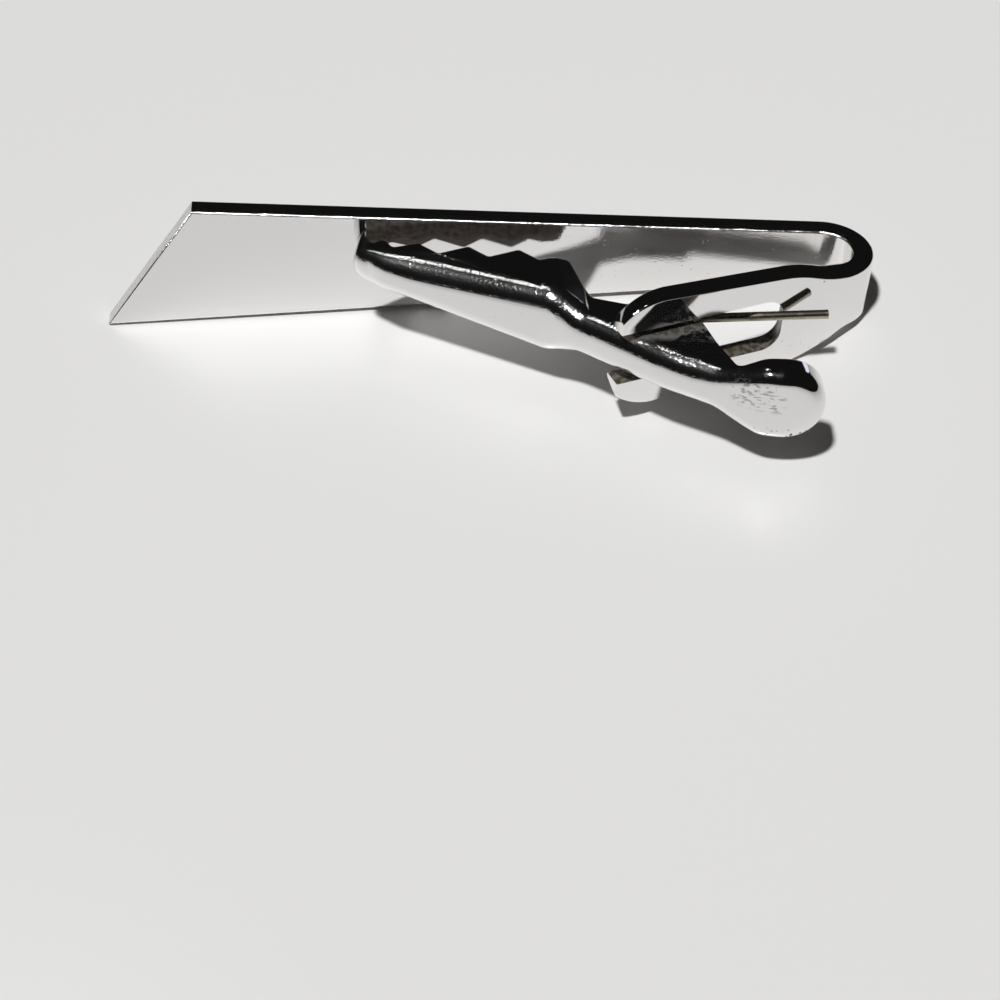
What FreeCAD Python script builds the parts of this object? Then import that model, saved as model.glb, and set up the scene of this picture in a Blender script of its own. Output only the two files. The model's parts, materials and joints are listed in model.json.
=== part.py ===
import FreeCAD, Part
import math
import os
import Sketcher

# Tie clip with a sprung jaw lever, in millimetres.
# The origin is the point where the jaw's nose meets the back face of the show bar.
# X runs along the bar towards the U bend, +Y is the front of the bar and Z is the width of the strip.
# Fork and lever are symmetric about the plane Z = 0. The bar tapers along its lower edge only.

DRIVING_SIZES = [
    # The strip: show bar, U bend and forked return leg
    ("strip_gauge", 1.4, "thickness of the strip"),
    ("bar_reach", 16.5, "bar beyond the nose, to the low corner of its slanted end"),
    ("end_slant", 5.66, "how far the slanted end leans back from its low corner"),
    ("bar_low", 7.34, "distance of that low corner below the mid plane"),
    ("half_narrow", 2.08, "half width of the strip at the bend"),
    ("taper_end", 29.65, "X where the taper of the bar ends"),
    ("bend_x", 31.2, "X of the centre of the U bend"),
    ("bend_inner", 1.9, "inner radius of the U bend"),
    ("crank_x", 30.8, "X of the crank in the return leg, at mid thickness"),
    ("crank_drop", 5.54, "distance of that crank in front of the bar's back face"),
    ("crank_radius", 6.0, "radius of that crank"),
    ("prong_length", 15.24, "length of the prongs from the crank to their tips"),
    ("prong_angle", 22.8, "angle of the prongs to the bar, in degrees"),
    ("flare_lag", 0.55, "distance of the flare's start from the inner apex of the bend"),
    ("flare_start", 2.5, "radius at the flare's start"),
    ("flare_x", 28.8, "X where the fork reaches its shoulder"),
    ("half_flare", 3.55, "half width of the fork at its shoulder"),
    ("half_fork", 4.33, "half width that the fork's edges run out to at the tips"),
    ("flare_radius", 7.0, "radius that blends the fork's shoulder"),
    ("prong_round", 3.6, "radius of the rounded prong tips"),
    ("half_gap", 1.95, "half width of the gap between the prongs"),
    ("gap_end", 28.0, "X of the closed end of that gap"),
    ("gap_round", 1.3, "corner radius of the closed end"),
    ("edge_round", 0.14, "rounding of the strip's long edges"),
    # The hinge pin and its seats
    ("pin_from_crank", 11.0, "distance of the pin along the prongs from the crank"),
    ("pin_radius", 0.5, "radius of the pin"),
    ("pin_lift", 0.05, "distance of the pin's axis behind the prongs' rear face"),
    ("pin_half", 3.1, "half length of the pin"),
    ("pin_chamfer", 0.12, "chamfer on the pin's ends"),
    ("seat_clear", 0.05, "radial clearance of the pin in its seats"),
    ("seat_end_clear", 0.2, "end clearance of the pin in its seats"),
    ("bore_clear", 0.015, "radial clearance of the pin in the lever"),
    # The jaw lever
    ("lever_gauge", 0.5, "thickness of the pressed lever"),
    ("fold_radius", 0.95, "outside radius of the fold between web and cheeks"),
    ("nose_reach", 0.3, "how far the nose stands beyond the origin"),
    ("nose_half", 1.12, "half width of the jaw at its nose"),
    ("jaw_half", 2.42, "half width of the jaw at its back end"),
    ("jaw_back", 12.9, "X of the back end of the jaw"),
    ("neck_start", 15.0, "X where the neck begins"),
    ("neck_half", 1.5, "half width of the neck"),
    ("neck_end", 23.2, "X where the neck ends"),
    ("thumb_start", 25.9, "X where the thumb pad reaches its full width"),
    ("thumb_half", 2.65, "half width of the thumb pad"),
    ("thumb_end", 29.85, "X of the end of the thumb pad"),
    ("jaw_fall", 0.458, "fall of the jaw's web for each millimetre along X"),
    ("web_nose", 2.89, "distance of the web in front of the bar at the origin"),
    ("crook_x", 13.0, "X of the crook between jaw and neck"),
    ("neck_fall", 0.7, "fall of the neck's web for each millimetre along X"),
    ("tail_x", 19.8, "X where the tail turns away from the neck"),
    ("tail_fall", 0.52, "fall of the tail's web for each millimetre along X"),
    ("lift_x", 25.8, "X where the thumb pad turns up"),
    ("lift_fall", 0.05, "fall of the thumb pad's web for each millimetre along X"),
    ("crook_radius", 14.0, "radius of the crook between jaw and neck"),
    ("tail_radius", 14.0, "radius of the turn into the tail"),
    ("lift_radius", 6.0, "radius of the turn into the thumb pad"),
    ("neck_blend", 1.2, "radius that blends the neck into jaw and pad"),
    ("nose_clear", 0.05, "clearance of the closed nose from the bar"),
    ("lip_end", 0.45, "X where the nose's lip leaves the bar"),
    ("notch_x", 1.07, "X of the notch behind that lip"),
    ("notch_drop", 1.91, "distance of that notch in front of the bar"),
    ("spur_x", 1.84, "X of the small tooth behind the notch"),
    ("spur_drop", 1.25, "distance of that small tooth in front of the bar"),
    ("root_x", 2.5, "X of the small tooth's root"),
    ("root_drop", 2.3, "distance of that root in front of the bar"),
    ("tooth_start", 4.2, "X of the first full tooth's crest"),
    ("tooth_drop", 2.0, "distance of that crest in front of the bar"),
    ("tooth_pitch", 3.343, "distance between the crests of the teeth"),
    ("tooth_depth", 1.0, "depth of the teeth"),
    ("tooth_lean", 0.45, "place of each valley between its two crests"),
    ("tooth_angle", 10.86, "angle of the row of teeth to the bar, in degrees"),
    ("tooth_round", 0.3, "rounding of crests and valleys"),
    ("cheek_x", 15.35, "X of the foot of the jaw's back edge"),
    ("cheek_drop", 7.4, "distance of that foot in front of the bar"),
    ("saddle_x", 17.6, "X of the lowest point between jaw and ears"),
    ("saddle_drop", 8.0, "distance of that point in front of the bar"),
    ("cheek_round", 0.6, "rounding of these points and of the ears"),
    ("cheek_back", 1.5, "cheek left behind the pin"),
    ("cheek_end", 1.15, "cheek left beyond the pin towards the tail"),
    ("flank_x", 24.2, "X of the foot of the cheek's tail flank"),
    ("tail_wall", 0.95, "depth of the tail's wall at its lowest"),
    ("thumb_wall", 1.9, "depth of the thumb pad's rim"),
    # The spring wire
    ("wire_radius", 0.3, "radius of the spring wire"),
    ("coil_clear", 0.1, "clearance of the wire's bend from the pin"),
    ("wire_level", 0.54, "height of the wire above the mid plane at the pin"),
    ("wire_tilt", 2.2, "slope of the wire's plane up towards its ends, in degrees"),
    ("wire_gap", 0.05, "gap of the wire's ends from what they press on"),
    ("leg_reach", 2.9, "length of the outer leg beyond the closed end of the fork's gap"),
    ("inner_leg_x", 24.3, "X of the web where the inner leg presses"),
]

DERIVED_SIZES = [
    ("half_gauge", "=strip_gauge / 2"),
    ("mid_radius", "=bend_inner + strip_gauge / 2"),
    ("bend_apex", "=bend_x + bend_inner"),
    ("blank_half", "=bar_low + half_fork"),
    ("blank_left", "=bar_reach + strip_gauge"),
    ("flare_from", "=bend_apex - flare_lag"),
    ("outline_end", "=bend_apex + 2 * strip_gauge"),
    ("trim_left", "=blank_left + strip_gauge"),
    ("trim_right", "=outline_end + strip_gauge"),
    ("trim_half", "=blank_half + strip_gauge"),
    ("slant_x", "=end_slant - bar_reach"),
    ("prong_sine", "=sin(prong_angle * 1 deg)"),
    ("prong_cosine", "=cos(prong_angle * 1 deg)"),
    ("tip_x", "=crank_x - prong_length * prong_cosine"),
    ("tip_drop", "=crank_drop + prong_length * prong_sine"),
    ("prong_edge", "=tip_x - half_gauge"),
    ("pin_offset", "=half_gauge + pin_lift"),
    ("pin_x", "=crank_x - pin_from_crank * prong_cosine - pin_offset * prong_sine"),
    ("pin_drop", "=crank_drop + pin_from_crank * prong_sine - pin_offset * prong_cosine"),
    ("pin_length", "=2 * pin_half"),
    ("seat_radius", "=pin_radius + seat_clear"),
    ("seat_length", "=2 * (pin_half + seat_end_clear)"),
    ("bore_radius", "=pin_radius + bore_clear"),
    ("block_left", "=4 * nose_half"),
    ("block_right", "=thumb_end + 2"),
    ("block_far", "=block_left + 1"),
    ("block_past", "=block_right + 1"),
    ("block_back", "=2 * jaw_half"),
    ("block_height", "=2 * (jaw_half + thumb_half)"),
    ("block_depth", "=2 * (block_back + web_right)"),
    ("web_left", "=web_nose - jaw_fall * block_left"),
    ("web_crook", "=web_nose + jaw_fall * crook_x"),
    ("web_tail", "=web_crook + neck_fall * (tail_x - crook_x)"),
    ("web_lift", "=web_tail + tail_fall * (lift_x - tail_x)"),
    ("web_right", "=web_lift + lift_fall * (block_right - lift_x)"),
    ("nose_round", "=nose_half - 0.02"),
    ("jaw_round", "=2 * fold_radius"),
    ("thumb_round", "=thumb_half - 0.05"),
    ("cheek_rear", "=pin_drop - pin_radius - cheek_back"),
    ("ear_x", "=pin_x + cheek_end"),
    ("flank_drop", "=web_tail + tail_fall * (flank_x - tail_x) - tail_wall"),
    ("thumb_rear", "=web_lift - thumb_wall"),
    ("trim_back", "=block_back + lever_gauge"),
    ("tooth_run", "=tooth_pitch * cos(tooth_angle * 1 deg)"),
    ("tooth_rise", "=tooth_pitch * sin(tooth_angle * 1 deg)"),
    ("valley_back", "=tooth_depth * sin(tooth_angle * 1 deg)"),
    ("valley_drop", "=tooth_depth * cos(tooth_angle * 1 deg)"),
]

TOOTH_COUNT = 4


def tooth_sizes():
    """Sheet formulas for the crests of the teeth and the valleys between them."""
    rows = []
    for i in range(TOOTH_COUNT):
        rows.append((f"crest_x_{i}", f"=tooth_start + {i} * tooth_run"))
        rows.append((f"crest_drop_{i}", f"=tooth_drop + {i} * tooth_rise"))
    for i in range(TOOTH_COUNT - 1):
        rows.append((f"valley_x_{i}", f"=tooth_start + ({i} + tooth_lean) * tooth_run - valley_back"))
        rows.append((f"valley_drop_{i}", f"=tooth_drop + ({i} + tooth_lean) * tooth_rise + valley_drop"))
    return rows


def make_sheet(doc):
    """Put the driving sizes and what follows from them in the sheet."""
    sheet = doc.addObject("Spreadsheet::Sheet", "sizes")
    for row, (alias, value, note) in enumerate(DRIVING_SIZES, start=1):
        sheet.set(f"A{row}", str(value))
        sheet.setAlias(f"A{row}", alias)
        sheet.set(f"B{row}", note)
    for row, (alias, formula) in enumerate(DERIVED_SIZES + tooth_sizes(), start=len(DRIVING_SIZES) + 1):
        sheet.set(f"A{row}", formula)
        sheet.setAlias(f"A{row}", alias)
    doc.recompute()
    return sheet


def size(sheet, name):
    """Value of a sheet size; a name with a leading minus sign gives its negative."""
    if name == "zero":
        return 0.0
    if name.startswith("-"):
        return -size(sheet, name[1:])
    value = sheet.get(name)
    return float(getattr(value, "Value", value))


def bound(name):
    """Expression that binds a property to a sheet size."""
    return f"-sizes.{name[1:]}" if name.startswith("-") else f"sizes.{name}"


def origin_plane(body, role):
    """One of a body's own origin planes, found by its role."""
    return next(item for item in body.Origin.OriginFeatures if item.Role == role)


def new_sketch(body, name, role, offset=None):
    """Sketch on one of the body's origin planes, moved along its normal by a sheet size."""
    sketch = body.newObject("Sketcher::SketchObject", name)
    sketch.AttachmentSupport = [(origin_plane(body, role), "")]
    sketch.MapMode = "FlatFace"
    if offset:
        sketch.setExpression("AttachmentOffset.Base.z", bound(offset))
    return sketch


def add_bound(sketch, kind, *where, name):
    """Add a dimension to a sketch and bind it to a sheet size."""
    index = sketch.addConstraint(Sketcher.Constraint(kind, *where))
    sketch.setExpression(f"Constraints[{index}]", bound(name))


def pin_point(sketch, sheet, geometry, position, corner):
    """Hold a sketch point at a corner given by two sheet sizes."""
    for kind, name in (("DistanceX", corner[0]), ("DistanceY", corner[1])):
        if name == "zero":
            axis = -2 if kind == "DistanceX" else -1
            sketch.addConstraint(Sketcher.Constraint("PointOnObject", geometry, position, axis))
        else:
            add_bound(sketch, kind, -1, 1, geometry, position, size(sheet, name), name=name)


def corner_arc(before, corner, after, radius):
    """Tangent arc in a corner: its start, end, centre and whether it turns left."""
    inward = (before - corner).normalize()
    outward = (after - corner).normalize()
    half_angle = inward.getAngle(outward) / 2
    reach = radius / math.tan(half_angle)
    start = corner + inward * reach
    end = corner + outward * reach
    centre = corner + (inward + outward).normalize() * (radius / math.sin(half_angle))
    left = (-inward).cross(outward).z > 0
    return start, end, centre, left


def draw_arc(sketch, start, end, centre, radius, left):
    """Add the corner's arc and give the positions of its first and last ends."""
    first, last = (start, end) if left else (end, start)
    angles = [math.atan2(point.y - centre.y, point.x - centre.x) for point in (first, last)]
    circle = Part.Circle(centre, FreeCAD.Vector(0, 0, 1), radius)
    index = sketch.addGeometry(Part.ArcOfCircle(circle, *angles), False)
    return (index, 1, 2) if left else (index, 2, 1)


def rounded_outline(sketch, sheet, corners):
    """Closed outline through corners (x, y, radius), all of them sheet sizes; no radius is a sharp corner."""
    points = [FreeCAD.Vector(size(sheet, x), size(sheet, y), 0) for x, y, _ in corners]
    count = len(points)
    joints = []
    for i, (_, _, radius) in enumerate(corners):
        if radius:
            joints.append(corner_arc(points[i - 1], points[i], points[(i + 1) % count], size(sheet, radius)))
        else:
            joints.append((points[i], points[i], None, None))
    lines = []
    for i in range(count):
        segment = Part.LineSegment(joints[i][1], joints[(i + 1) % count][0])
        lines.append(sketch.addGeometry(segment, False))
    for i, (x, y, radius) in enumerate(corners):
        before, after = lines[i - 1], lines[i]
        if not radius:
            sketch.addConstraint(Sketcher.Constraint("Coincident", before, 2, after, 1))
            pin_point(sketch, sheet, after, 1, (x, y))
            continue
        start, end, centre, left = joints[i]
        arc, first, last = draw_arc(sketch, start, end, centre, size(sheet, radius), left)
        sketch.addConstraint(Sketcher.Constraint("Tangent", before, 2, arc, first))
        sketch.addConstraint(Sketcher.Constraint("Tangent", arc, last, after, 1))
        add_bound(sketch, "Radius", arc, size(sheet, radius), name=radius)
        mark = sketch.addGeometry(Part.Point(points[i]), True)
        pin_point(sketch, sheet, mark, 1, (x, y))
        sketch.addConstraint(Sketcher.Constraint("PointOnObject", mark, 1, before))
        sketch.addConstraint(Sketcher.Constraint("PointOnObject", mark, 1, after))


def mirrored(upper):
    """Corners of an outline that is symmetric about its X axis, from its upper half."""
    lower = [(x, "-" + y, radius) for x, y, radius in reversed(upper)]
    return upper + lower


def rectangle(left, right, half):
    """Corners of a plain rectangle about the X axis."""
    return mirrored([(left, half, None), (right, half, None)])


def make_pocket(body, sketch, name, backwards=False, midplane=None):
    """Cut a sketch out of a body, through everything or as deep as a sheet size, and test that it cut."""
    doc = body.Document
    doc.recompute()
    before = body.Shape.Volume
    pocket = body.newObject("PartDesign::Pocket", name)
    pocket.Profile = sketch
    if midplane:
        pocket.Type = "Length"
        pocket.Midplane = True
        pocket.setExpression("Length", bound(midplane))
    else:
        pocket.Type = "ThroughAll"
        pocket.Reversed = backwards
    doc.recompute()
    if body.Shape.isNull() or not body.Shape.Volume < before:
        raise RuntimeError(f"{name} cut nothing")
    return pocket


def tangent_point(centre, radius, point, side):
    """Where a line from a point touches a circle, on its left (+1) or right (-1) side."""
    spoke = point - centre
    angle = math.atan2(spoke.y, spoke.x) + side * math.acos(radius / spoke.Length)
    return centre + FreeCAD.Vector(math.cos(angle), math.sin(angle), 0) * radius


def strip_corners(sheet):
    """Centre of the bend, corner of the crank and end of the prongs, at mid thickness."""
    names = (("bend_x", "-bend_inner"), ("crank_x", "-crank_drop"), ("tip_x", "-tip_drop"))
    return [FreeCAD.Vector(size(sheet, x), size(sheet, y), 0) for x, y in names]


def strip_path(body, sheet):
    """Mid line of the bent strip: bar, U bend, lead-in and prongs."""
    sketch = new_sketch(body, "StripPath", "XY_Plane")
    middle = size(sheet, "half_gauge")
    radius = size(sheet, "mid_radius")
    bend, crank, tip = strip_corners(sheet)
    leave = tangent_point(bend, radius, crank, 1)
    turn = math.atan2(leave.y - bend.y, leave.x - bend.x)
    start, end, centre, left = corner_arc(leave, crank, tip, size(sheet, "crank_radius"))
    far = FreeCAD.Vector(-size(sheet, "blank_left"), middle, 0)
    bar = sketch.addGeometry(Part.LineSegment(far, FreeCAD.Vector(bend.x, middle, 0)), False)
    circle = Part.Circle(bend, FreeCAD.Vector(0, 0, 1), radius)
    hook = sketch.addGeometry(Part.ArcOfCircle(circle, turn, math.pi / 2), False)
    lead = sketch.addGeometry(Part.LineSegment(leave, start), False)
    arc, first, last = draw_arc(sketch, start, end, centre, size(sheet, "crank_radius"), left)
    prong = sketch.addGeometry(Part.LineSegment(end, tip), False)
    mark = sketch.addGeometry(Part.Point(crank), True)
    pin_point(sketch, sheet, bar, 1, ("-blank_left", "half_gauge"))
    sketch.addConstraint(Sketcher.Constraint("Horizontal", bar))
    sketch.addConstraint(Sketcher.Constraint("Tangent", bar, 2, hook, 2))
    add_bound(sketch, "DistanceX", -1, 1, hook, 3, bend.x, name="bend_x")
    add_bound(sketch, "Radius", hook, radius, name="mid_radius")
    sketch.addConstraint(Sketcher.Constraint("Tangent", hook, 1, lead, 1))
    sketch.addConstraint(Sketcher.Constraint("Tangent", lead, 2, arc, first))
    sketch.addConstraint(Sketcher.Constraint("Tangent", arc, last, prong, 1))
    add_bound(sketch, "Radius", arc, size(sheet, "crank_radius"), name="crank_radius")
    pin_point(sketch, sheet, mark, 1, ("crank_x", "-crank_drop"))
    sketch.addConstraint(Sketcher.Constraint("PointOnObject", mark, 1, lead))
    sketch.addConstraint(Sketcher.Constraint("PointOnObject", mark, 1, prong))
    pin_point(sketch, sheet, prong, 2, ("tip_x", "-tip_drop"))
    return sketch


def clip_strip(doc, sheet):
    """Show bar, U bend and forked return leg, bent from one strip."""
    body = doc.addObject("PartDesign::Body", "ClipStrip")
    body.Label = "clip_strip"
    path = strip_path(body, sheet)
    section = new_sketch(body, "StripSection", "YZ_Plane", "-blank_left")
    rounded_outline(section, sheet, rectangle("zero", "strip_gauge", "blank_half"))
    doc.recompute()
    blank = body.newObject("PartDesign::AdditivePipe", "BentBlank")
    blank.Profile = section
    blank.Spine = (path, [f"Edge{i + 1}" for i in range(len(path.Shape.Edges))])
    doc.recompute()

    bar_trim = new_sketch(body, "BarTrim", "XZ_Plane", "bend_inner")
    rounded_outline(bar_trim, sheet, rectangle("-trim_left", "trim_right", "trim_half"))
    rounded_outline(bar_trim, sheet, [
        ("-bar_reach", "-bar_low", None),
        ("taper_end", "-half_narrow", None),
        ("outline_end", "-half_narrow", None),
        ("outline_end", "half_narrow", None),
        ("slant_x", "half_narrow", None),
    ])
    make_pocket(body, bar_trim, "BarOutline")

    fork_trim = new_sketch(body, "ForkTrim", "XZ_Plane", "bend_inner")
    rounded_outline(fork_trim, sheet, rectangle("-trim_left", "trim_right", "trim_half"))
    rounded_outline(fork_trim, sheet, mirrored([
        ("outline_end", "half_narrow", None),
        ("flare_from", "half_narrow", "flare_start"),
        ("flare_x", "half_flare", "flare_radius"),
        ("prong_edge", "half_fork", "prong_round"),
    ]))
    make_pocket(body, fork_trim, "ForkOutline", backwards=True)
    round_edges(body, "EdgeRounding", sheet_edges(body.Shape), "edge_round")

    gap = new_sketch(body, "ForkGap", "XZ_Plane", "bend_inner")
    rounded_outline(gap, sheet, mirrored([("gap_end", "half_gap", "gap_round"), ("zero", "half_gap", None)]))
    make_pocket(body, gap, "ForkOpening", backwards=True)

    seats = new_sketch(body, "SeatSection", "XY_Plane")
    draw_circle(seats, sheet, ("pin_x", "-pin_drop"), "seat_radius")
    make_pocket(body, seats, "PinSeats", midplane="seat_length")
    return body


def draw_circle(sketch, sheet, centre, radius):
    """Circle with its centre and radius bound to sheet sizes."""
    middle = FreeCAD.Vector(size(sheet, centre[0]), size(sheet, centre[1]), 0)
    circle = Part.Circle(middle, FreeCAD.Vector(0, 0, 1), size(sheet, radius))
    index = sketch.addGeometry(circle, False)
    pin_point(sketch, sheet, index, 3, centre)
    add_bound(sketch, "Radius", index, size(sheet, radius), name=radius)


def face_kind(face):
    """Whether a face is the surface of the sheet metal or was cut across it, along Y."""
    surface = face.Surface
    if isinstance(surface, Part.Plane):
        return "cut" if abs(surface.Axis.y) < 1e-6 else "sheet"
    if isinstance(surface, Part.Cylinder):
        return "cut" if abs(surface.Axis.y) > 0.999 else "sheet"
    return "other"


def sheet_edges(shape, front_only=False):
    """Numbers of the edges between the sheet's surface and a cut across it."""
    chosen = []
    for number, edge in enumerate(shape.Edges, start=1):
        faces = shape.ancestorsOfType(edge, Part.Face)
        kinds = sorted(face_kind(face) for face in faces)
        if kinds != ["cut", "sheet"]:
            continue
        if front_only:
            surface = next(face for face in faces if face_kind(face) == "sheet")
            middle = edge.valueAt((edge.FirstParameter + edge.LastParameter) / 2)
            if surface.normalAt(*surface.Surface.parameter(middle)).y > -0.3:
                continue
        chosen.append(f"Edge{number}")
    return chosen


def round_edges(body, name, edges, radius):
    """Fillet the named edges of a body's last feature."""
    base = body.Tip
    fillet = body.newObject("PartDesign::Fillet", name)
    fillet.Base = (base, edges)
    fillet.setExpression("Radius", bound(radius))
    body.Document.recompute()
    return fillet


def lever_block(body, sheet):
    """Solid block with the lever's front face and outline, folds rounded, open at the back."""
    doc = body.Document
    plan = new_sketch(body, "WebPlan", "XY_Plane")
    rounded_outline(plan, sheet, [
        ("-block_left", "-web_left", None),
        ("crook_x", "-web_crook", "crook_radius"),
        ("tail_x", "-web_tail", "tail_radius"),
        ("lift_x", "-web_lift", "lift_radius"),
        ("block_right", "-web_right", None),
        ("block_right", "block_back", None),
        ("-block_left", "block_back", None),
    ])
    pad = body.newObject("PartDesign::Pad", "WebBlock")
    pad.Profile = plan
    pad.Midplane = True
    pad.setExpression("Length", bound("block_height"))
    doc.recompute()
    front = new_sketch(body, "FrontTrim", "XZ_Plane")
    rounded_outline(front, sheet, rectangle("-block_far", "block_past", "block_height"))
    rounded_outline(front, sheet, mirrored([
        ("thumb_end", "thumb_half", "thumb_round"),
        ("thumb_start", "thumb_half", "jaw_round"),
        ("neck_end", "neck_half", "neck_blend"),
        ("neck_start", "neck_half", "neck_blend"),
        ("jaw_back", "jaw_half", "jaw_round"),
        ("-nose_reach", "nose_half", "nose_round"),
    ]))
    make_pocket(body, front, "FrontOutline", midplane="block_depth")
    return round_edges(body, "Folds", sheet_edges(body.Shape, front_only=True), "fold_radius")


def hollow_lever(body, block, sheet):
    """Turn the block into a pressed channel that is open towards the bar."""
    back = size(sheet, "block_back")
    faces = block.Shape.Faces
    rear = [i for i, face in enumerate(faces, start=1) if abs(face.BoundBox.YMin - back) < 1e-6]
    shell = body.newObject("PartDesign::Thickness", "Channel")
    shell.Base = (block, [f"Face{i}" for i in rear])
    shell.Reversed = True
    shell.Join = 0
    shell.setExpression("Value", bound("lever_gauge"))
    body.Document.recompute()
    return shell


def cheek_profile():
    """Back edge of the lever's cheeks in plan: nose, teeth, ears, tail and thumb pad."""
    corners = [
        ("-block_far", "-nose_clear", None),
        ("lip_end", "-nose_clear", "tooth_round"),
        ("notch_x", "-notch_drop", "tooth_round"),
        ("spur_x", "-spur_drop", "tooth_round"),
        ("root_x", "-root_drop", "tooth_round"),
    ]
    for i in range(TOOTH_COUNT):
        corners.append((f"crest_x_{i}", f"-crest_drop_{i}", "tooth_round"))
        if i < TOOTH_COUNT - 1:
            corners.append((f"valley_x_{i}", f"-valley_drop_{i}", "tooth_round"))
    corners += [
        ("cheek_x", "-cheek_drop", "cheek_round"),
        ("saddle_x", "-saddle_drop", "cheek_round"),
        ("ear_x", "-cheek_rear", "cheek_round"),
        ("flank_x", "-flank_drop", "cheek_round"),
        ("block_past", "-thumb_rear", None),
        ("block_past", "trim_back", None),
        ("-block_far", "trim_back", None),
    ]
    return corners


def jaw_lever(doc, sheet):
    """Pressed channel with toothed jaw, hinge ears and thumb pad."""
    body = doc.addObject("PartDesign::Body", "JawLever")
    body.Label = "jaw_lever"
    block = lever_block(body, sheet)
    hollow_lever(body, block, sheet)
    back = new_sketch(body, "CheekTrim", "XY_Plane")
    rounded_outline(back, sheet, cheek_profile())
    make_pocket(body, back, "CheekProfile", midplane="block_height")
    bores = new_sketch(body, "BoreSection", "XY_Plane")
    draw_circle(bores, sheet, ("pin_x", "-pin_drop"), "bore_radius")
    make_pocket(body, bores, "PinBores", midplane="block_height")
    return body


def hinge_pin(doc, sheet):
    """Plain cross pin with chamfered ends."""
    body = doc.addObject("PartDesign::Body", "HingePin")
    body.Label = "hinge_pin"
    section = new_sketch(body, "PinSection", "XY_Plane")
    draw_circle(section, sheet, ("pin_x", "-pin_drop"), "pin_radius")
    pad = body.newObject("PartDesign::Pad", "PinBlank")
    pad.Profile = section
    pad.Midplane = True
    pad.setExpression("Length", bound("pin_length"))
    doc.recompute()
    rims = [i for i, edge in enumerate(pad.Shape.Edges, start=1) if edge.BoundBox.ZLength < 1e-6]
    chamfer = body.newObject("PartDesign::Chamfer", "PinEnds")
    chamfer.Base = (pad, [f"Edge{i}" for i in rims])
    chamfer.setExpression("Size", bound("pin_chamfer"))
    doc.recompute()
    return body


def spring_edges(sheet):
    """Mid line of the hairpin wire: outer leg, bend round the pin, inner leg."""
    level = FreeCAD.Vector(0, 0, size(sheet, "wire_level"))
    wire = size(sheet, "wire_radius")
    clear = size(sheet, "wire_gap")
    pin = FreeCAD.Vector(size(sheet, "pin_x"), -size(sheet, "pin_drop"), 0)
    coil = size(sheet, "pin_radius") + size(sheet, "coil_clear") + wire
    half = size(sheet, "half_gauge")
    _, crank, tip = strip_corners(sheet)

    # The straight outer leg presses on the fork's outer face at the closed end of its gap
    prong = (crank - tip).normalize()
    prong_out = FreeCAD.Vector(prong.y, -prong.x, 0)
    corner = crank + prong_out * half
    rim = corner - prong * ((corner.x - size(sheet, "gap_end")) / prong.x)
    rest = rim - FreeCAD.Vector(0, wire + clear, 0)

    # The inner leg ends on the inside of the tail's web
    fall = size(sheet, "tail_fall")
    web_x = size(sheet, "inner_leg_x")
    web_y = -(size(sheet, "web_tail") + fall * (web_x - size(sheet, "tail_x")))
    web_in = FreeCAD.Vector(fall, 1, 0).normalize()
    press = FreeCAD.Vector(web_x, web_y, 0) + web_in * (size(sheet, "lever_gauge") + wire + clear)

    over = tangent_point(pin, coil, rest, 1)
    under = tangent_point(pin, coil, press, -1)
    far = pin + ((over + under) * 0.5 - pin).normalize() * coil
    end = rest + (rest - over).normalize() * size(sheet, "leg_reach")
    end, over, far, under, press = [point + level for point in (end, over, far, under, press)]
    edges = [
        Part.LineSegment(end, over).toShape(),
        Part.Arc(over, far, under).toShape(),
        Part.LineSegment(under, press).toShape(),
    ]
    for edge in edges:
        edge.rotate(pin + level, FreeCAD.Vector(0, -1, 0), size(sheet, "wire_tilt"))
    return edges


def least_gap(path, wire_radius):
    """Least clear gap between stretches of a wire that are not neighbours."""
    points = path.discretize(Distance=wire_radius / 2)
    skip = 2 * math.ceil(math.pi * 2) + 2
    least = min(
        (a - b).Length
        for i, a in enumerate(points)
        for b in points[i + skip:]
    )
    return least - 2 * wire_radius


def hairpin_spring(doc, sheet):
    """One bent round wire between the fork and the lever."""
    edges = spring_edges(sheet)
    radius = size(sheet, "wire_radius")
    path = Part.Wire(edges)
    start = edges[0].valueAt(edges[0].FirstParameter)
    section = Part.makeCircle(radius, start, edges[0].tangentAt(edges[0].FirstParameter))
    spring = doc.addObject("Part::Feature", "HairpinSpring")
    spring.Label = "hairpin_spring"
    spring.Shape = path.makePipeShell([Part.Wire(section)], True, False)
    print("spring: least gap to itself", round(least_gap(path, radius), 3), "mm")
    print("spring: volume over section times length",
          round(spring.Shape.Volume / (math.pi * radius ** 2 * path.Length), 4))
    return spring


def check(doc, parts):
    """Stop if any object failed or any sub-part is not one valid solid."""
    for item in doc.Objects:
        if "Invalid" in item.State or "Error" in item.State:
            raise RuntimeError(f"{item.Label} failed: {item.State}")
    for part in parts:
        shape = part.Shape
        if shape.isNull() or not shape.isValid() or len(shape.Solids) != 1:
            raise RuntimeError(f"{part.Label} is not one valid solid")


def main():
    doc = FreeCAD.newDocument("TieClip")
    sheet = make_sheet(doc)
    makers = (clip_strip, jaw_lever, hinge_pin, hairpin_spring)
    parts = [maker(doc, sheet) for maker in makers]
    doc.recompute()
    check(doc, parts)
    os.makedirs("parts", exist_ok=True)
    for part in parts:
        part.Shape.exportStep(f"parts/{part.Label}.step")
        box = part.Shape.BoundBox
        print(part.Label, "volume", round(part.Shape.Volume, 2), "box",
              [round(value, 2) for value in (box.XMin, box.YMin, box.ZMin, box.XMax, box.YMax, box.ZMax)])
    print("hinge axis", round(size(sheet, "pin_x"), 4), round(-size(sheet, "pin_drop"), 4))


main()
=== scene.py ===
import json
import math

import bpy
from bpy.props import FloatProperty, FloatVectorProperty, PointerProperty
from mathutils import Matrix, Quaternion, Vector

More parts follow.
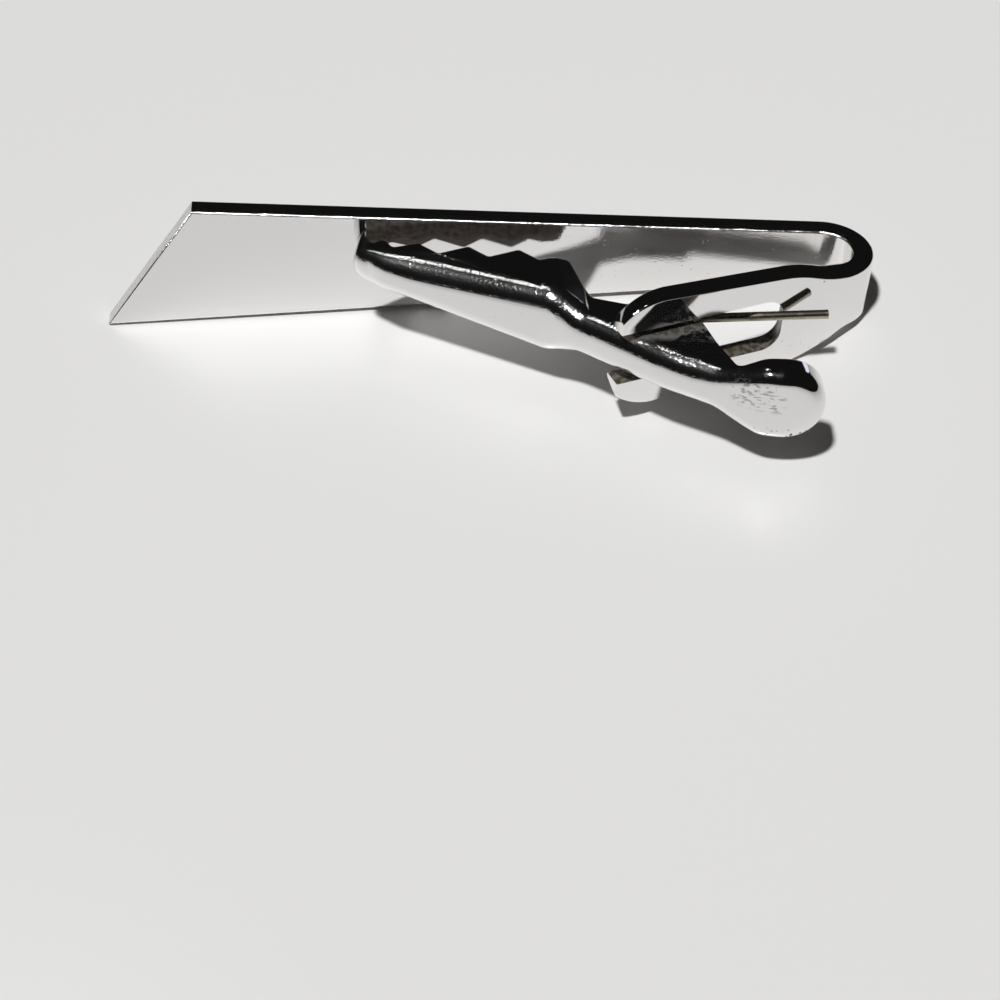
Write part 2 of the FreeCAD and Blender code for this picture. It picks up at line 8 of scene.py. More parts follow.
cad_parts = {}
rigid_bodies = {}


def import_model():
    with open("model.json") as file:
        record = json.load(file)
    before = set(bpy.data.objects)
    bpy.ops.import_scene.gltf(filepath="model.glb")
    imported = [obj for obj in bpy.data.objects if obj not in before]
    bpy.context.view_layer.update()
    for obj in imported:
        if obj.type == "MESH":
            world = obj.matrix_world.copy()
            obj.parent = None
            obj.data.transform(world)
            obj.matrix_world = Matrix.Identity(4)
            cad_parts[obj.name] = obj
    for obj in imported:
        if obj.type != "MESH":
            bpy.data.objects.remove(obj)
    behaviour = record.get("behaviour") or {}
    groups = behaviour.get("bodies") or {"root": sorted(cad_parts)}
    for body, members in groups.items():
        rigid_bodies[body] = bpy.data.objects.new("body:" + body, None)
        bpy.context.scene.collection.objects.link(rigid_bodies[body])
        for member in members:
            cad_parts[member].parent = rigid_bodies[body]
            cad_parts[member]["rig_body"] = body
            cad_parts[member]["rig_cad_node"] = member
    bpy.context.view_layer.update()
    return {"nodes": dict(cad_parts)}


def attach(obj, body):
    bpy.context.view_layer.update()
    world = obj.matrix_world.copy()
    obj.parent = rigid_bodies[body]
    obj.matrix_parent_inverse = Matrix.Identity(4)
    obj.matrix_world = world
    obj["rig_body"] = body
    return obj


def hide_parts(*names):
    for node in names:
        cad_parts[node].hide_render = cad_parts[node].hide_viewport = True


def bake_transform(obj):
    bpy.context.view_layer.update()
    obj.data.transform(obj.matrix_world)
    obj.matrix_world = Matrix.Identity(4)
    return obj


bl_info = {
    "name": "Tie Clip Finisher",
    "version": (1, 0, 0),
    "blender": (4, 5, 0),
    "location": "View3D > Sidebar > Tie Clip",
    "description": "Polishes the parts of a sprung tie clip and sets them on a white table",
    "category": "Object",
}

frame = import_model()
MM = 0.001

# Points this near to each other are merged, and a cut this near to a point goes through it
MERGE_DISTANCE = 0.5e-6
CUT_TOLERANCE = 1e-7
# Edges bent by more than this stay sharp
SHEET_CREASE = math.radians(50)
PIN_CREASE = math.radians(35)
WIRE_CREASE = math.radians(40)
# Rays that look for edges to ease at each shaded point
EASE_SAMPLES = 6
# Nearest distance that the camera shows
NEAR_LIMIT = 0.005

# Along the lever, in millimetres: where each slope of the web ends and how steep it is
WEB_FALLS = ((13.0, 0.458), (19.8, 0.70), (25.8, 0.52), (99.0, 0.05))
# Along the lever, in millimetres: how much larger the radius of its outer folds becomes
FOLD_GROWTH = (
    (1.0, 0.0), (2.0, 0.2), (3.5, 0.45), (5.0, 0.5),
    (12.0, 0.5), (15.0, 0.3), (21.5, 0.3), (23.0, 0.0),
)
# Share of that growth in the fold of the lower cheek, which is less rounded
LOW_FOLD_SHARE = 0.3
# A normal that leans less than this out of a flat face still counts as the flat face's
FLAT = 0.03
# Along the lever, in millimetres: share of the nose's set-back
NOSE_REACH = ((0.2, 1.0), (1.6, 0.0))
# From the web to the bar, in millimetres: the nose's set-back
NOSE_SET_BACK = (
    (-3.0, 0.7), (-2.4, 0.35), (-1.8, 0.1), (-1.3, 0.0),
    (-0.8, 0.0), (-0.4, 0.15), (-0.05, 0.5),
)
# Along the lever, in millimetres: Y of the middle of its channel
CHANNEL_MIDDLE = ((1.3, -2.4), (13.0, -6.5), (20.0, -12.0), (25.8, -15.4), (27.2, -15.6))

# Least and greatest part of the normal across the clip, on rounded edges and on folds
STRIP_RIM_SLANT = (0.2, 0.97)
LEVER_FOLD_SLANT = (0.3, 0.995)
# Least part of the normal in the direction that a face is told by
FACES_AWAY = 0.05
FACES_BAR = 0.2
FACES_MIDDLE = 0.3
FACES_PRONG_TIPS = 0.5
# The fork's gap: depth behind which it lies, where it ends, and half its width
GAP_DEPTH = -3 * MM
GAP_END = 28.6 * MM
GAP_HALF = 2 * MM

# Wear on the strip: where it starts and is full, or the two ends of its stretch
BAR_PITS = (8 * MM, 22 * MM)
BACK_FACE = (0.2 * MM, 0.4 * MM)
BAR_RIM = (-2 * MM, -1 * MM)
FORK_SCUFFS = (28.5 * MM, 32 * MM)
FORK_FACE = (-4.5 * MM, -4 * MM)
# Wear on the lever, told the same way
PAD = (24.5 * MM, 27.5 * MM)
PAD_LOW_RIM = (-1.9 * MM, -1.3 * MM)
RUBBED_LENGTH = (24.2 * MM, 26.8 * MM)
RUBBED_WIDTH = (0.0, 1.6 * MM)
EARS_LENGTH = (19 * MM, 23.5 * MM)
EARS_DEPTH = (-10.5 * MM, -6 * MM)


class FinishSettings(bpy.types.PropertyGroup):
    """Colours and polish of the clip's metal."""

    plate_colour: FloatVectorProperty(
        name="Plate", description="Colour of the polished plate", subtype="COLOR",
        size=3, min=0, max=1, default=(0.86, 0.85, 0.84))
    dull_colour: FloatVectorProperty(
        name="Dull metal", description="Colour of the unpolished inside of the lever", subtype="COLOR",
        size=3, min=0, max=1, default=(0.52, 0.475, 0.445))
    pit_colour: FloatVectorProperty(
        name="Pits", description="Colour of dirt in pits and scuffs", subtype="COLOR",
        size=3, min=0, max=1, default=(0.10, 0.09, 0.08))
    worn_colour: FloatVectorProperty(
        name="Worn plate", description="Colour of the fine pits in the bar's back", subtype="COLOR",
        size=3, min=0, max=1, default=(0.45, 0.44, 0.42))
    tarnish_colour: FloatVectorProperty(
        name="Tarnish", description="Olive-brown stain on cut edges and on the wire", subtype="COLOR",
        size=3, min=0, max=1, default=(0.062, 0.050, 0.026))
    wire_colour: FloatVectorProperty(
        name="Wire", description="Colour of the clean spring wire", subtype="COLOR",
        size=3, min=0, max=1, default=(0.42, 0.39, 0.32))
    polish: FloatProperty(
        name="Polish", description="Roughness of the cleanest plate", subtype="FACTOR",
        min=0, max=1, default=0.04)
    edge_ease: FloatProperty(
        name="Edge ease", description="How far sharp edges look rounded by polishing", unit="LENGTH",
        min=0, max=0.001, default=0.00012)


class StageSettings(bpy.types.PropertyGroup):
    """Table, light and camera."""

    table_colour: FloatVectorProperty(
        name="Table", description="Colour of the white table", subtype="COLOR",
        size=3, min=0, max=1, default=(0.80, 0.797, 0.79))
    dust_colour: FloatVectorProperty(
        name="Dust", description="Colour of the specks of dust on the table", subtype="COLOR",
        size=3, min=0, max=1, default=(0.28, 0.27, 0.26))
    table_size: FloatProperty(
        name="Table size", description="Width of the table top", unit="LENGTH", min=0.1, default=6)
    table_slope: FloatVectorProperty(
        name="Table slope", description="Rise of the table along X and Y under the standing clip",
        size=2, default=(0.1079, 0.1436))
    lamp_strength: FloatProperty(
        name="Lamp", description="Strength of the lamp overhead", min=0, default=3.05)
    lamp_softness: FloatProperty(
        name="Lamp softness", description="Angle that the lamp fills in the sky", subtype="ANGLE",
        min=0, max=math.pi, default=math.radians(4.5))
    lamp_from: FloatVectorProperty(
        name="Lamp direction", description="Direction in which the lamp stands", subtype="DIRECTION",
        size=3, default=(-0.27, -0.35, 0.89))
    glint_strength: FloatProperty(
        name="Glint", description="Strength of the small lamp behind the clip", min=0, default=0.07)
    glint_softness: FloatProperty(
        name="Glint softness", description="Angle that the small lamp fills in the sky", subtype="ANGLE",
        min=0, max=math.pi, default=math.radians(5))
    glint_from: FloatVectorProperty(
        name="Glint direction", description="Direction in which the small lamp stands", subtype="DIRECTION",
        size=3, default=(-0.28, 0.33, 0.90))
    fill_strength: FloatProperty(
        name="Fill", description="Strength of the soft light that fills the shadows", min=0, default=0.05)
    fill_colour: FloatVectorProperty(
        name="Fill colour", description="Colour of the light in the shadows", subtype="COLOR",
        size=3, min=0, max=1, default=(1.0, 0.90, 0.92))
    window_from: FloatVectorProperty(
        name="Window direction", description="Direction in which the window stands", subtype="DIRECTION",
        size=3, default=(0.60, 0.76, 0.27))
    window_distance: FloatProperty(
        name="Window distance", description="How far off the window is", unit="LENGTH", min=0.1, default=0.6)
    window_size: FloatProperty(
        name="Window size", description="Width of the window", unit="LENGTH", min=0.01, default=0.1)
    window_strength: FloatProperty(
        name="Window", description="Power of the window", unit="POWER", min=0, default=0.03)
    window_colour: FloatVectorProperty(
        name="Window colour", description="Colour of the daylight", subtype="COLOR",
        size=3, min=0, max=1, default=(0.86, 0.84, 1.0))
    room_level: FloatProperty(
        name="Room", description="Brightness of the dark room", min=0, default=0.006)
    eye: FloatVectorProperty(
        name="Eye", description="Place of the camera", subtype="TRANSLATION", unit="LENGTH",
        size=3, default=(-0.001974, -0.155956, 0.109244))
    gaze: FloatVectorProperty(
        name="Gaze", description="Direction in which the camera looks", subtype="DIRECTION",
        size=3, default=(0.064, 0.7634, -0.6428))
    roll: FloatProperty(
        name="Roll", description="Turn of the camera about its gaze", subtype="ANGLE",
        default=math.radians(4.54))
    view_angle: FloatProperty(
        name="View angle", description="Angle across the picture", subtype="ANGLE",
        min=0.01, max=math.pi, default=math.radians(20))


class Flow:
    """A shader value; arithmetic on it adds Math nodes."""

    def __init__(self, tree, socket):
        self.tree = tree
        self.socket = socket

    def combine(self, operation, first, second=None):
        node = self.tree.nodes.new("ShaderNodeMath")
        node.operation = operation
        for slot, value in zip(node.inputs, (first, second)):
            if isinstance(value, Flow):
                self.tree.links.new(value.socket, slot)
            elif value is not None:
                slot.default_value = value
        return Flow(self.tree, node.outputs[0])

    def __add__(self, other):
        return self.combine("ADD", self, other)

    __radd__ = __add__

    def __sub__(self, other):
        return self.combine("SUBTRACT", self, other)

    def __rsub__(self, other):
        return self.combine("SUBTRACT", other, self)

    def __mul__(self, other):
        return self.combine("MULTIPLY", self, other)

    __rmul__ = __mul__

    def __abs__(self):
        return self.combine("ABSOLUTE", self)

    def least(self, other):
        return self.combine("MINIMUM", self, other)

    def most(self, other):
        return self.combine("MAXIMUM", self, other)


class Recipe:
    """The node tree of one procedural material."""

    def __init__(self, name):
        self.material = bpy.data.materials.new(name)
        self.material.use_nodes = True
        self.tree = self.material.node_tree
        self.tree.nodes.clear()
        self.place = self.add("ShaderNodeTexCoord", out="Object")
        self.x, self.y, self.z = self.add("ShaderNodeSeparateXYZ", out=("X", "Y", "Z"), Vector=self.place)

    def add(self, kind, settings=None, out=0, **sockets):
        """Add any node: its settings first, then the values or links of its sockets."""
        node = self.tree.nodes.new(kind)
        for name, value in (settings or {}).items():
            setattr(node, name, value)
        for name, value in sockets.items():
            socket = self.find(node.inputs, name.replace("_", " "))
            if isinstance(value, Flow):
                self.tree.links.new(value.socket, socket)
            elif socket.type == "RGBA":
                socket.default_value = (*value, 1)
            else:
                socket.default_value = value
        if isinstance(out, tuple):
            return [Flow(self.tree, self.find(node.outputs, name)) for name in out]
        return Flow(self.tree, self.find(node.outputs, out)) if len(node.outputs) else None

    @staticmethod
    def find(sockets, wanted):
        """Enabled socket by its name or number."""
        enabled = [socket for socket in sockets if socket.enabled]
        if isinstance(wanted, int):
            return enabled[wanted]
        return next(socket for socket in enabled if socket.name == wanted)

    def noise(self, scale, detail=4.0, stretch=(1, 1, 1)):
        """Cloudy pattern, with features of about 1 / scale metres."""
        place = self.add("ShaderNodeMapping", Vector=self.place, Scale=stretch)
        return self.add("ShaderNodeTexNoise", Vector=place, Scale=scale, Detail=detail)

    def step(self, value, low, high):
        """Smooth step from 0 at low to 1 at high."""
        settings = {"interpolation_type": "SMOOTHSTEP"}
        return self.add("ShaderNodeMapRange", settings, Value=value, From_Min=low, From_Max=high)

    def band(self, value, low, high, blur):
        """1 between low and high, fading to 0 over blur on both sides."""
        return self.step(value, low - blur, low) * (1 - self.step(value, high, high + blur))

    def specks(self, spacing, radius, density):
        """Round specks of a given radius, with soft edges, on a random share of cells."""
        core = 0.6 * radius
        full_share = 0.9 * density
        distance, tint = self.add("ShaderNodeTexVoronoi", {"feature": "F1"}, ("Distance", "Color"),
                                  Vector=self.place, Scale=1 / spacing)
        pick = self.add("ShaderNodeSeparateColor", Color=tint)
        inside = 1 - self.step(distance, core / spacing, radius / spacing)
        return inside * self.step(pick, 1 - density, 1 - full_share)

    def mix(self, share, first, second):
        """Blend of two colours."""
        return self.add("ShaderNodeMix", {"data_type": "RGBA"}, Factor=share, A=first, B=second)

    def mark(self, name):
        """Value of a named attribute of the mesh."""
        return self.add("ShaderNodeAttribute", {"attribute_name": name}, "Fac")

    def finish(self, colour, roughness, metallic=1.0, height=None, strength=1.0, depth=0.0, ease=0.0):
        """Feed the surface shader, with eased edges and bumps where asked, and return the material."""
        bent = {}
        if ease:
            bent["Normal"] = self.add("ShaderNodeBevel", {"samples": EASE_SAMPLES}, Radius=ease)
        if height:
            bent["Normal"] = self.add(
                "ShaderNodeBump", Height=height, Strength=strength, Distance=depth, **bent)
        shader = self.add(
            "ShaderNodeBsdfPrincipled", Base_Color=colour, Roughness=roughness, Metallic=metallic, **bent)
        self.add("ShaderNodeOutputMaterial", Surface=shader)
        return self.material


def strip_finish(settings):
    """Mirror polish with fine pits on the bar's back, flecked rims and tarnish in the fork's gap."""
    recipe = Recipe("polished_strip")
    clouds = recipe.noise(scale=160)
    scratches = recipe.noise(scale=900, detail=2, stretch=(0.06, 1, 1))
    back_face = recipe.step(recipe.x, *BAR_PITS) * (1 - recipe.step(abs(recipe.y), *BACK_FACE))
    pits = recipe.specks(spacing=0.30 * MM, radius=0.05 * MM, density=0.30) * (back_face * 0.8 + 0.08)
    patches = recipe.step(recipe.noise(scale=2600, detail=6), low=0.40, high=0.60)
    stain = recipe.mark("gap_wall") * (0.85 + 0.15 * patches)
    fork = recipe.band(recipe.x, *FORK_SCUFFS, blur=1 * MM) * (1 - recipe.step(recipe.y, *FORK_FACE))
    scuffs = fork * recipe.specks(spacing=0.34 * MM, radius=0.09 * MM, density=0.22)
    scuffs = scuffs * recipe.step(recipe.noise(scale=500), low=0.46, high=0.56)
    rim = recipe.mark("rim") * recipe.step(recipe.y, *BAR_RIM)
    grain = recipe.noise(scale=6500, detail=2)

    pitted = recipe.mix(pits, settings.plate_colour, settings.worn_colour)
    scuffed = recipe.mix(0.6 * scuffs, pitted, settings.pit_colour)
    colour = recipe.mix(stain, scuffed, settings.tarnish_colour)
    haze = 0.03 * recipe.step(clouds, low=0.4, high=0.7)
    scratched = 0.05 * recipe.step(scratches, low=0.62, high=0.7)
    roughness = settings.polish + haze + scratched
    roughness = roughness + 0.35 * stain + 0.45 * pits + 0.3 * scuffs + 0.13 * rim
    metallic = 1 - 0.75 * stain
    height = 0.1 * scratches - 0.2 * pits + (14 * rim).most(1.4 * back_face) * grain
    return recipe.finish(colour, roughness, metallic, height, strength=0.25, depth=0.02 * MM)


def lever_finish(settings):
    """Mirror polish outside, dull inside, scuffed at the thumb pad, with flecked folds and stained ears."""
    recipe = Recipe("polished_lever")
    clouds = recipe.noise(scale=240)
    scratches = recipe.noise(scale=1100, detail=3, stretch=(1, 0.3, 0.08))
    inside = recipe.mark("inside")
    pad = recipe.step(recipe.x, *PAD)
    low_rim = pad * (1 - recipe.step(recipe.z, *PAD_LOW_RIM))
    pits = recipe.specks(spacing=0.42 * MM, radius=0.09 * MM, density=0.10) * (0.1 + 0.5 * pad)
    pits = pits.most(recipe.specks(spacing=0.30 * MM, radius=0.12 * MM, density=0.6) * low_rim)
    rubbed = recipe.band(recipe.x, *RUBBED_LENGTH, blur=0.6 * MM)
    rubbed = rubbed * recipe.band(recipe.z, *RUBBED_WIDTH, blur=0.5 * MM)
    smears = recipe.noise(scale=5200, detail=4, stretch=(0.3, 1, 1))
    scuffs = recipe.step(smears, low=0.53, high=0.60) * rubbed
    ears = recipe.band(recipe.x, *EARS_LENGTH, blur=1.5 * MM)
    ears = ears * recipe.band(recipe.y, *EARS_DEPTH, blur=1.5 * MM)
    stain = ears * recipe.step(recipe.noise(scale=900, detail=6), low=0.40, high=0.60)
    grain = recipe.noise(scale=2600, detail=5)
    rim = recipe.mark("rim") * (1 - pad)
    flecks = recipe.noise(scale=6500, detail=2, stretch=(0.7, 1, 1))

    worn = recipe.mix(pits.most(0.5 * scuffs), settings.plate_colour, settings.pit_colour)
    dark = (0.55 * recipe.step(grain, low=0.40, high=0.7)).most(0.85 * recipe.mark("edge"))
    dull = recipe.mix(dark, settings.dull_colour, settings.pit_colour)
    bare = recipe.mix(inside, worn, dull)
    colour = recipe.mix((1.6 * stain).least(0.95), bare, settings.tarnish_colour)
    haze = 0.03 * recipe.step(clouds, low=0.4, high=0.7)
    scratched = 0.06 * recipe.step(scratches, low=0.6, high=0.7) * pad
    roughness = settings.polish + haze + scratched
    roughness = roughness + 0.32 * stain + 0.18 * scuffs + 0.55 * inside + 0.07 * rim
    metallic = 1 - (0.75 * stain).most(0.6 * inside)
    height = 0.1 * scratches * pad - 0.3 * pits - 0.1 * scuffs + 0.25 * grain * inside + 4 * flecks * rim
    return recipe.finish(
        colour, roughness, metallic, height, strength=0.25, depth=0.025 * MM, ease=settings.edge_ease)


def wire_finish(settings):
    """Drawn spring wire with patches of tarnish."""
    recipe = Recipe("tarnished_wire")
    patches = recipe.step(recipe.noise(scale=420, detail=5), low=0.44, high=0.60)
    lines = recipe.noise(scale=2600, detail=2, stretch=(0.08, 1, 1))
    colour = recipe.mix(patches * 0.85, settings.wire_colour, settings.tarnish_colour)
    roughness = 0.22 + 0.3 * patches + 0.08 * lines
    return recipe.finish(colour, roughness, height=lines + patches, strength=0.12, depth=0.02 * MM)


def pin_finish(settings):
    """Plain drawn steel, a little stained."""
    recipe = Recipe("pin_steel")
    patches = recipe.step(recipe.noise(scale=600, detail=4), low=0.45, high=0.65)
    lines = recipe.noise(scale=2200, detail=2, stretch=(1, 1, 0.1))
    colour = recipe.mix(patches * 0.6, settings.wire_colour, settings.tarnish_colour)
    roughness = 0.25 + 0.2 * patches + 0.1 * lines
    return recipe.finish(colour, roughness, height=lines, strength=0.1, depth=0.015 * MM)


def table_finish(stage):
    """Glossy white table top with a little dust."""
    recipe = Recipe("white_table")
    clouds = recipe.noise(scale=14, detail=5)
    dust = recipe.specks(spacing=9 * MM, radius=0.22 * MM, density=0.12)
    colour = recipe.mix(dust * 0.55, stage.table_colour, stage.dust_colour)
    roughness = 0.20 + 0.1 * clouds
    return recipe.finish(colour, roughness, metallic=0.0)


def deselect_all():
    """Leave nothing selected."""
    for item in bpy.context.selected_objects:
        item.select_set(False)


def smooth_copy(node, name, angle, reshape=None):
    """Copy of a CAD node, merged, reshaped where asked, with its curved faces shaded smooth."""
    deselect_all()
    source = frame["nodes"][node]
    source.select_set(True)
    bpy.context.view_layer.objects.active = source
    bpy.ops.object.duplicate()
    piece = bpy.context.view_layer.objects.active
    piece.name = name
    piece.data.name = name
    piece.parent = None
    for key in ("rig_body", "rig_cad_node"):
        del piece[key]
    bpy.ops.object.mode_set(mode="EDIT")
    bpy.ops.mesh.select_all(action="SELECT")
    bpy.ops.mesh.customdata_custom_splitnormals_clear()
    bpy.ops.mesh.remove_doubles(threshold=MERGE_DISTANCE)
    bpy.ops.object.mode_set(mode="OBJECT")
    if reshape:
        reshape(piece.data)
    bpy.ops.object.shade_smooth_by_angle(angle=angle)
    weigh = piece.modifiers.new("Flat faces stay flat", "WEIGHTED_NORMAL")
    weigh.mode = "FACE_AREA"
    weigh.keep_sharp = True
    bpy.ops.object.modifier_apply(modifier=weigh.name)
    deselect_all()
    return piece


def ramp(value, stations):
    """Value along straight lines between stations of place and value."""
    if value <= stations[0][0]:
        return stations[0][1]
    for (place0, value0), (place1, value1) in zip(stations, stations[1:]):
        if value <= place1:
            return value0 + (value1 - value0) * (value - place0) / (place1 - place0)
    return stations[-1][1]


def web_normal(x):
    """Outward normal of the lever's web at a given X."""
    fall = next(fall for end, fall in WEB_FALLS if x / MM < end)
    return Vector((-fall, -1, 0)).normalized()


def cut_across(places):
    """Cut the active mesh by planes across X, so that its long strips get more points."""
    bpy.ops.object.mode_set(mode="EDIT")
    for place in places:
        bpy.ops.mesh.select_all(action="SELECT")
        bpy.ops.mesh.bisect(plane_co=(place * MM, 0, 0), plane_no=(1, 0, 0), threshold=CUT_TOLERANCE)
    bpy.ops.object.mode_set(mode="OBJECT")


def outer_normals(mesh):
    """For each point of the lever, the normals of the faces outside the channel that meet there."""
    touching = {vertex.index: [] for vertex in mesh.vertices}
    for face in mesh.polygons:
        if not in_lever_channel(face.center, face.normal):
            for index in face.vertices:
                touching[index].append(face.normal.copy())
    return touching


def fold_growth(place):
    """How much larger the fold's radius becomes at a point."""
    share = 1 if place.z > 0 else LOW_FOLD_SHARE
    return ramp(place.x / MM, FOLD_GROWTH) * MM * share


def fold_shift(place, normals):
    """Which way, and how far for each unit of growth, a point of a fold moves; none off the folds."""
    folded = [normal for normal in normals if normal.y < -FLAT and abs(normal.z) > FLAT]
    if not folded:
        return Vector()
    web = web_normal(place.x)
    mean = sum(folded, Vector()).normalized()
    wall = (mean - mean.dot(web) * web).normalized()
    if any(normal.y >= -FLAT for normal in normals):
        mean = wall
    elif len(folded) < len(normals):
        mean = web
    return mean - web - wall


def round_lever(mesh):
    """Make the lever's outer folds rounder, as pressing leaves them, and round its nose in plan."""
    cut_across(place for place, growth in FOLD_GROWTH)
    for index, normals in outer_normals(mesh).items():
        vertex = mesh.vertices[index]
        vertex.co += fold_growth(vertex.co) * fold_shift(vertex.co, normals)
    for vertex in mesh.vertices:
        share = ramp(vertex.co.x / MM, NOSE_REACH)
        vertex.co.x += share * ramp(vertex.co.y / MM, NOSE_SET_BACK) * MM
    mesh.update()


def mark_faces(piece, name, test):
    """Store on each face whether it passes a test of its centre and normal."""
    layer = piece.data.attributes.new(name, "FLOAT", "FACE")
    for value, face in zip(layer.data, piece.data.polygons):
        value.value = float(test(face.center, face.normal))


def on_strip_rim(centre, normal):
    """Whether a face belongs to the rounded long edges of the strip."""
    least, greatest = STRIP_RIM_SLANT
    return least < abs(normal.z) < greatest


def on_gap_wall(centre, normal):
    """Whether a face is a wall of the gap between the prongs."""
    side_wall = normal.z * centre.z < -FACES_MIDDLE * abs(centre.z)
    closed_end = normal.x < -FACES_PRONG_TIPS and abs(centre.z) < GAP_HALF
    return (side_wall or closed_end) and centre.y < GAP_DEPTH and centre.x < GAP_END


def on_lever_fold(centre, normal):
    """Whether a face belongs to the folds between the lever's web and cheeks."""
    least, greatest = LEVER_FOLD_SLANT
    return least < abs(normal.z) < greatest and normal.y < -FACES_AWAY


def lever_middle(x):
    """Point in the middle of the lever's channel at a given X, or at the nearer end of the channel."""
    x = min(max(x / MM, CHANNEL_MIDDLE[0][0]), CHANNEL_MIDDLE[-1][0])
    return Vector((x, ramp(x, CHANNEL_MIDDLE), 0)) * MM


def in_lever_channel(centre, normal):
    """Whether a face looks into the lever's channel or is a cut edge that faces the bar."""
    return normal.y > FACES_BAR or normal.dot(centre - lever_middle(centre.x)) < 0


def on_cut_edge(centre, normal):
    """Whether a face is a cut edge of the cheeks that faces the bar."""
    return normal.y > FACES_BAR and normal.dot(centre - lever_middle(centre.x)) >= 0


def coat(piece, material):
    """Give a piece one material in place of what it had."""
    piece.data.materials.clear()
    piece.data.materials.append(material)


class CLIP_OT_polish_strip(bpy.types.Operator):
    """Polish the bent strip: show bar, U bend and fork"""

    bl_idname = "tie_clip.polish_strip"
    bl_label = "Polish Strip"

    def execute(self, context):
        piece = smooth_copy("clip_strip", "strip_polished", SHEET_CREASE)
        mark_faces(piece, "rim", on_strip_rim)
        mark_faces(piece, "gap_wall", on_gap_wall)
        coat(piece, strip_finish(context.scene.clip_finish))
        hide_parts("clip_strip")
        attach(piece, "clip")
        return {"FINISHED"}


class CLIP_OT_polish_lever(bpy.types.Operator):
    """Polish the toothed jaw lever"""

    bl_idname = "tie_clip.polish_lever"
    bl_label = "Polish Lever"

    def execute(self, context):
        piece = smooth_copy("jaw_lever", "lever_polished", SHEET_CREASE, round_lever)
        mark_faces(piece, "inside", in_lever_channel)
        mark_faces(piece, "edge", on_cut_edge)
        mark_faces(piece, "rim", on_lever_fold)
        coat(piece, lever_finish(context.scene.clip_finish))
        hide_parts("jaw_lever")
        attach(piece, "lever")
        return {"FINISHED"}


class CLIP_OT_dress_pin(bpy.types.Operator):
    """Give the hinge pin its drawn steel"""

    bl_idname = "tie_clip.dress_pin"
    bl_label = "Dress Pin"

    def execute(self, context):
        piece = smooth_copy("hinge_pin", "pin_drawn", PIN_CREASE)
        coat(piece, pin_finish(context.scene.clip_finish))
        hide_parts("hinge_pin")
        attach(piece, "lever")
        return {"FINISHED"}


class CLIP_OT_fit_spring(bpy.types.Operator):
    """Copy the hairpin spring as a smooth, tarnished wire in place of its CAD node"""

    bl_idname = "tie_clip.fit_spring"
    bl_label = "Fit Spring"

    def execute(self, context):
        piece = smooth_copy("hairpin_spring", "spring_wire", WIRE_CREASE)
        coat(piece, wire_finish(context.scene.clip_finish))
        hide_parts("hairpin_spring")
        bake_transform(piece)
        return {"FINISHED"}


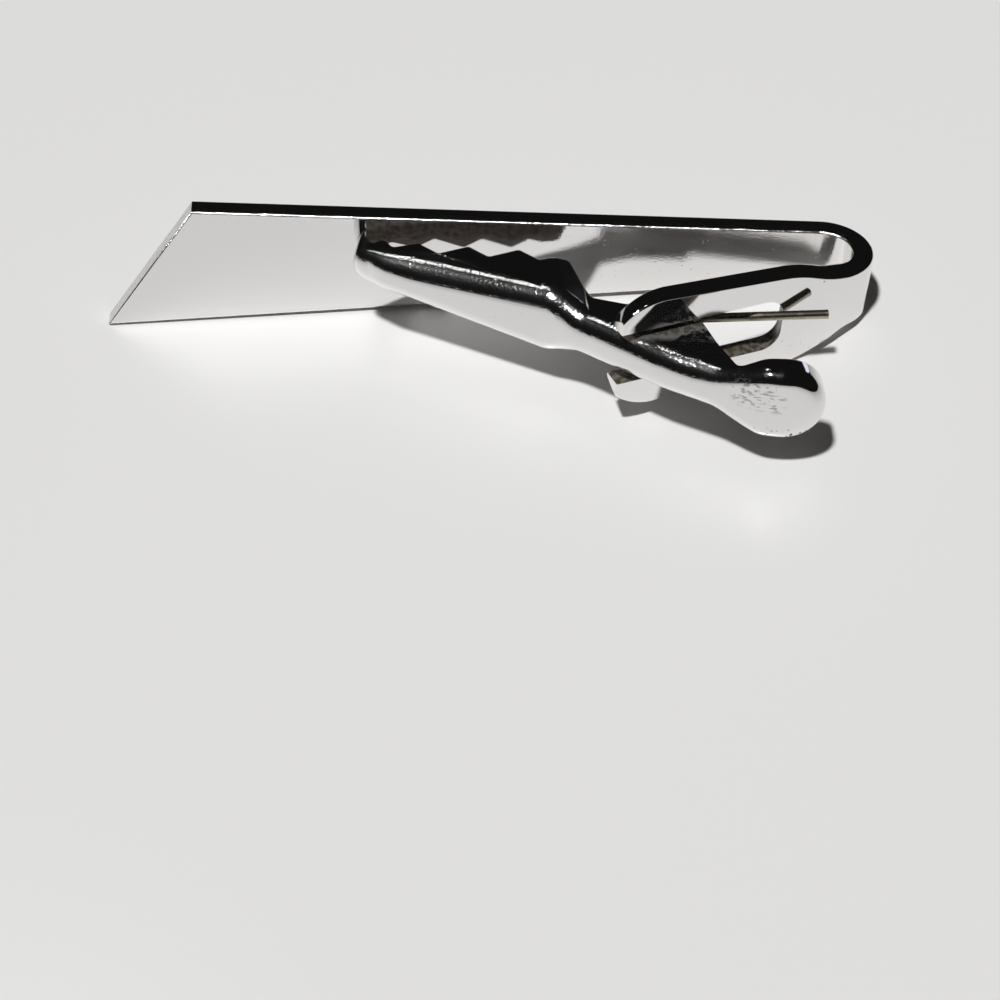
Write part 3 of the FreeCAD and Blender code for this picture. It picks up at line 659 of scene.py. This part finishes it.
class CLIP_OT_set_stage(bpy.types.Operator):
    """Set the white table, the lights and the camera"""

    bl_idname = "tie_clip.set_stage"
    bl_label = "Set Stage"

    def execute(self, context):
        stage = context.scene.clip_stage
        self.lay_table(context, stage)
        self.light_room(context, stage)
        self.place_camera(context, stage)
        return {"FINISHED"}

    @staticmethod
    def lay_table(context, stage):
        """Table top under the lowest points of the clip, which stands on its edge."""
        normal = Vector((-stage.table_slope[0], -stage.table_slope[1], 1)).normalized()
        meshes = [node.data for node in frame["nodes"].values()]
        level = min(normal.dot(vertex.co) for mesh in meshes for vertex in mesh.vertices)
        turn = normal.to_track_quat("Z", "Y").to_euler()
        deselect_all()
        bpy.ops.mesh.primitive_plane_add(size=stage.table_size, location=normal * level, rotation=turn)
        table = context.view_layer.objects.active
        table.name = "table_top"
        bpy.ops.object.transform_apply(location=True, rotation=True, scale=False)
        coat(table, table_finish(stage))

    @staticmethod
    def add_lamp(context, name, kind, direction, energy):
        """Lamp that stands in a direction and shines at the origin."""
        lamp = bpy.data.objects.new(name, bpy.data.lights.new(name, kind))
        lamp.data.energy = energy
        lamp.rotation_euler = Vector(direction).to_track_quat("Z", "Y").to_euler()
        context.scene.collection.objects.link(lamp)
        return lamp

    def light_room(self, context, stage):
        """Lamp overhead, small lamp behind, soft fill without gloss, and a window for the lever alone."""
        lamp = self.add_lamp(context, "overhead_lamp", "SUN", stage.lamp_from, stage.lamp_strength)
        lamp.data.angle = stage.lamp_softness
        glint = self.add_lamp(context, "small_lamp", "SUN", stage.glint_from, stage.glint_strength)
        glint.data.angle = stage.glint_softness
        glint.visible_diffuse = False
        fill = self.add_lamp(context, "soft_fill", "SUN", (0, 0, 1), stage.fill_strength)
        fill.data.angle = math.pi
        fill.data.color = stage.fill_colour
        fill.visible_glossy = False
        window = self.add_lamp(context, "window", "AREA", stage.window_from, stage.window_strength)
        window.location = Vector(stage.window_from).normalized() * stage.window_distance
        window.data.size = stage.window_size
        window.data.color = stage.window_colour
        lit = bpy.data.collections.new("lit_by_window")
        lit.objects.link(bpy.data.objects["lever_polished"])
        window.light_linking.receiver_collection = lit
        room = bpy.data.worlds.new("dark_room")
        room.use_nodes = True
        level = stage.room_level
        room.node_tree.nodes["Background"].inputs["Color"].default_value = (level, level, level, 1)
        context.scene.world = room
        context.scene.view_settings.view_transform = "Standard"

    @staticmethod
    def place_camera(context, stage):
        """Camera at the photograph's viewing angle."""
        eye = bpy.data.objects.new("photo_camera", bpy.data.cameras.new("photo_camera"))
        eye.data.sensor_fit = "HORIZONTAL"
        eye.data.angle = stage.view_angle
        eye.data.clip_start = NEAR_LIMIT
        eye.location = stage.eye
        level_view = Vector(stage.gaze).to_track_quat("-Z", "Y")
        eye.rotation_euler = (level_view @ Quaternion((0, 0, 1), stage.roll)).to_euler()
        context.scene.collection.objects.link(eye)
        context.scene.camera = eye


OPERATORS = (
    CLIP_OT_polish_strip,
    CLIP_OT_polish_lever,
    CLIP_OT_dress_pin,
    CLIP_OT_fit_spring,
    CLIP_OT_set_stage,
)


class CLIP_PT_sidebar(bpy.types.Panel):
    """Lists the clip's settings and steps"""

    bl_idname = "CLIP_PT_sidebar"
    bl_label = "Tie Clip"
    bl_space_type = "VIEW_3D"
    bl_region_type = "UI"
    bl_category = "Tie Clip"

    def draw(self, context):
        for group in (context.scene.clip_finish, context.scene.clip_stage):
            for name in group.bl_rna.properties.keys():
                if name not in {"rna_type", "name"}:
                    self.layout.prop(group, name)
        for operator in OPERATORS:
            self.layout.operator(operator.bl_idname)


CLASSES = (FinishSettings, StageSettings, *OPERATORS, CLIP_PT_sidebar)


def register():
    for item in CLASSES:
        bpy.utils.register_class(item)
    bpy.types.Scene.clip_finish = PointerProperty(type=FinishSettings)
    bpy.types.Scene.clip_stage = PointerProperty(type=StageSettings)


def unregister():
    del bpy.types.Scene.clip_stage
    del bpy.types.Scene.clip_finish
    for item in reversed(CLASSES):
        bpy.utils.unregister_class(item)


def main():
    register()
    bpy.ops.tie_clip.polish_strip()
    bpy.ops.tie_clip.polish_lever()
    bpy.ops.tie_clip.dress_pin()
    bpy.ops.tie_clip.fit_spring()
    bpy.ops.tie_clip.set_stage()


if __name__ == "__main__":
    main()
